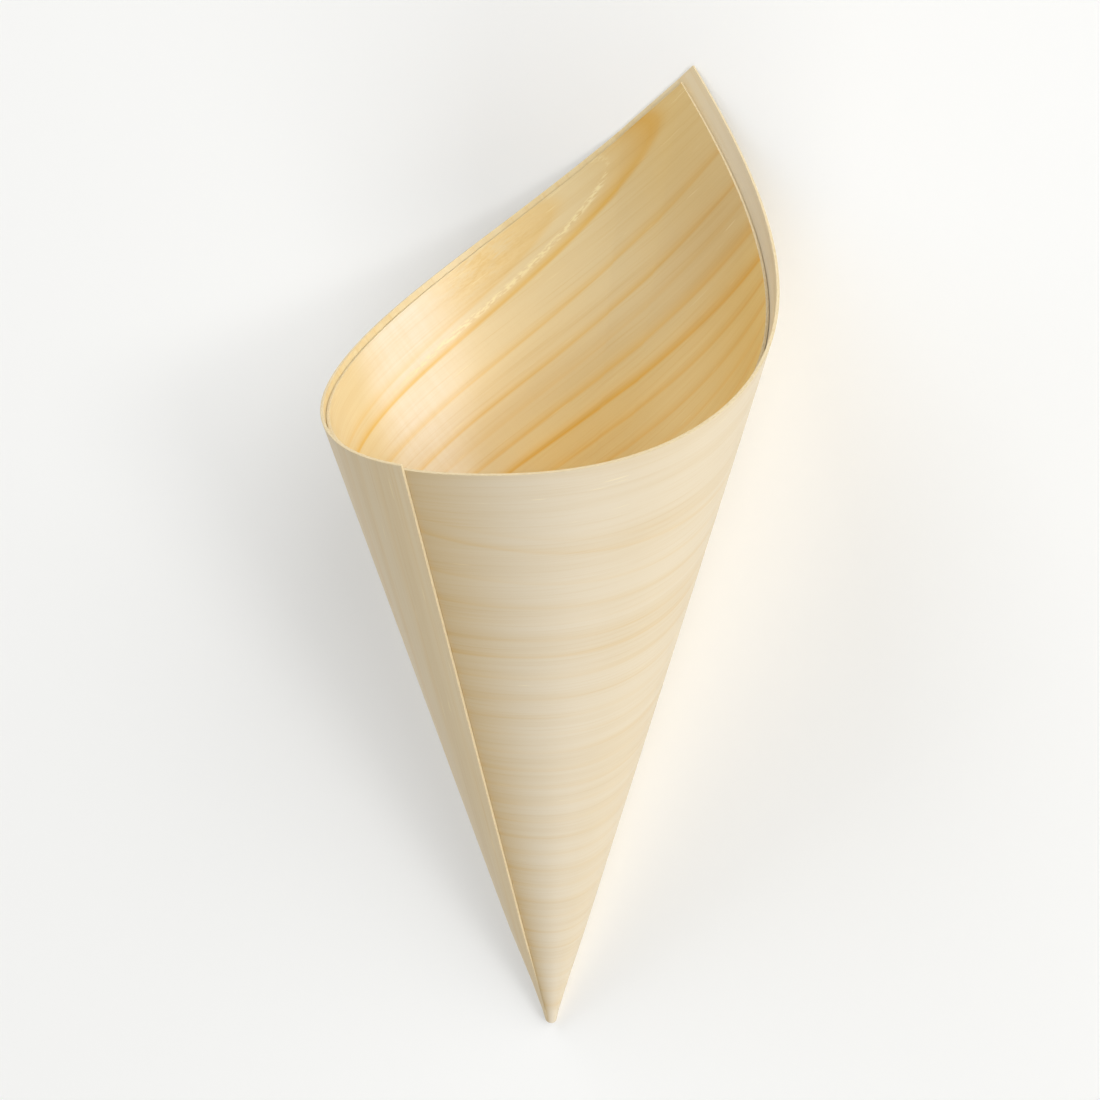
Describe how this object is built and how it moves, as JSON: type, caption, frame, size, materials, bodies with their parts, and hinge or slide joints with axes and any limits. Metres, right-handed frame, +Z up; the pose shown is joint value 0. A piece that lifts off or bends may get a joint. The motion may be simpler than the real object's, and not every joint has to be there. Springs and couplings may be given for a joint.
{
  "type": "wooden serving cone",
  "caption": "Pointed serving cone rolled from a thin sheet of pine veneer, low at the front of the mouth and rising to a tall point at the back, lying on its side.",
  "frame": {"origin": "middle of the box's lower face: the floor under the middle of the lying cone", "axes": "+Z up from the floor the cone lies on, +Y from the tip towards the mouth along the wall that touches the floor, +X to the right seen from the tip"},
  "size_m": [0.0738, 0.1758, 0.0567],
  "materials": {
    "pine_veneer": "satin, unvarnished, straight grain that crosses between the two plies"
  },
  "bodies": {
    "root": {"cone": "pine_veneer"}
  },
  "joints": []
}
